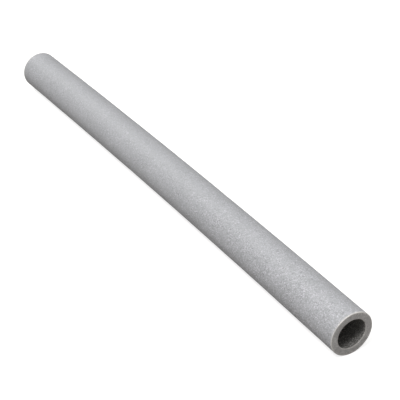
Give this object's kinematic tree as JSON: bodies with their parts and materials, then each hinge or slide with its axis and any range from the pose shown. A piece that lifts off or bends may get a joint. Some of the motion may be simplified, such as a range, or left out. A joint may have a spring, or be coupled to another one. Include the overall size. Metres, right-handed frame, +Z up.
{
  "type": "pipe insulation lagging",
  "caption": "Long grey foam tube with a round through bore and square cut ends, lying slightly bowed; it slides over a heating or water pipe to keep its heat in.",
  "frame": {"origin": "on the floor, below the middle of the tube: the bottom centre of the bounding box", "axes": "+X along the tube towards the end that the picture shows open, +Y sideways, the way the middle bows out, +Z up"},
  "size_m": [1.0014, 0.077, 0.072],
  "materials": {
    "foam": "grey closed-cell polyethylene foam with a faintly pebbled, softly shining skin and matt, open-celled cut ends"
  },
  "bodies": {
    "root": {"foam_tube": "foam"}
  },
  "joints": []
}
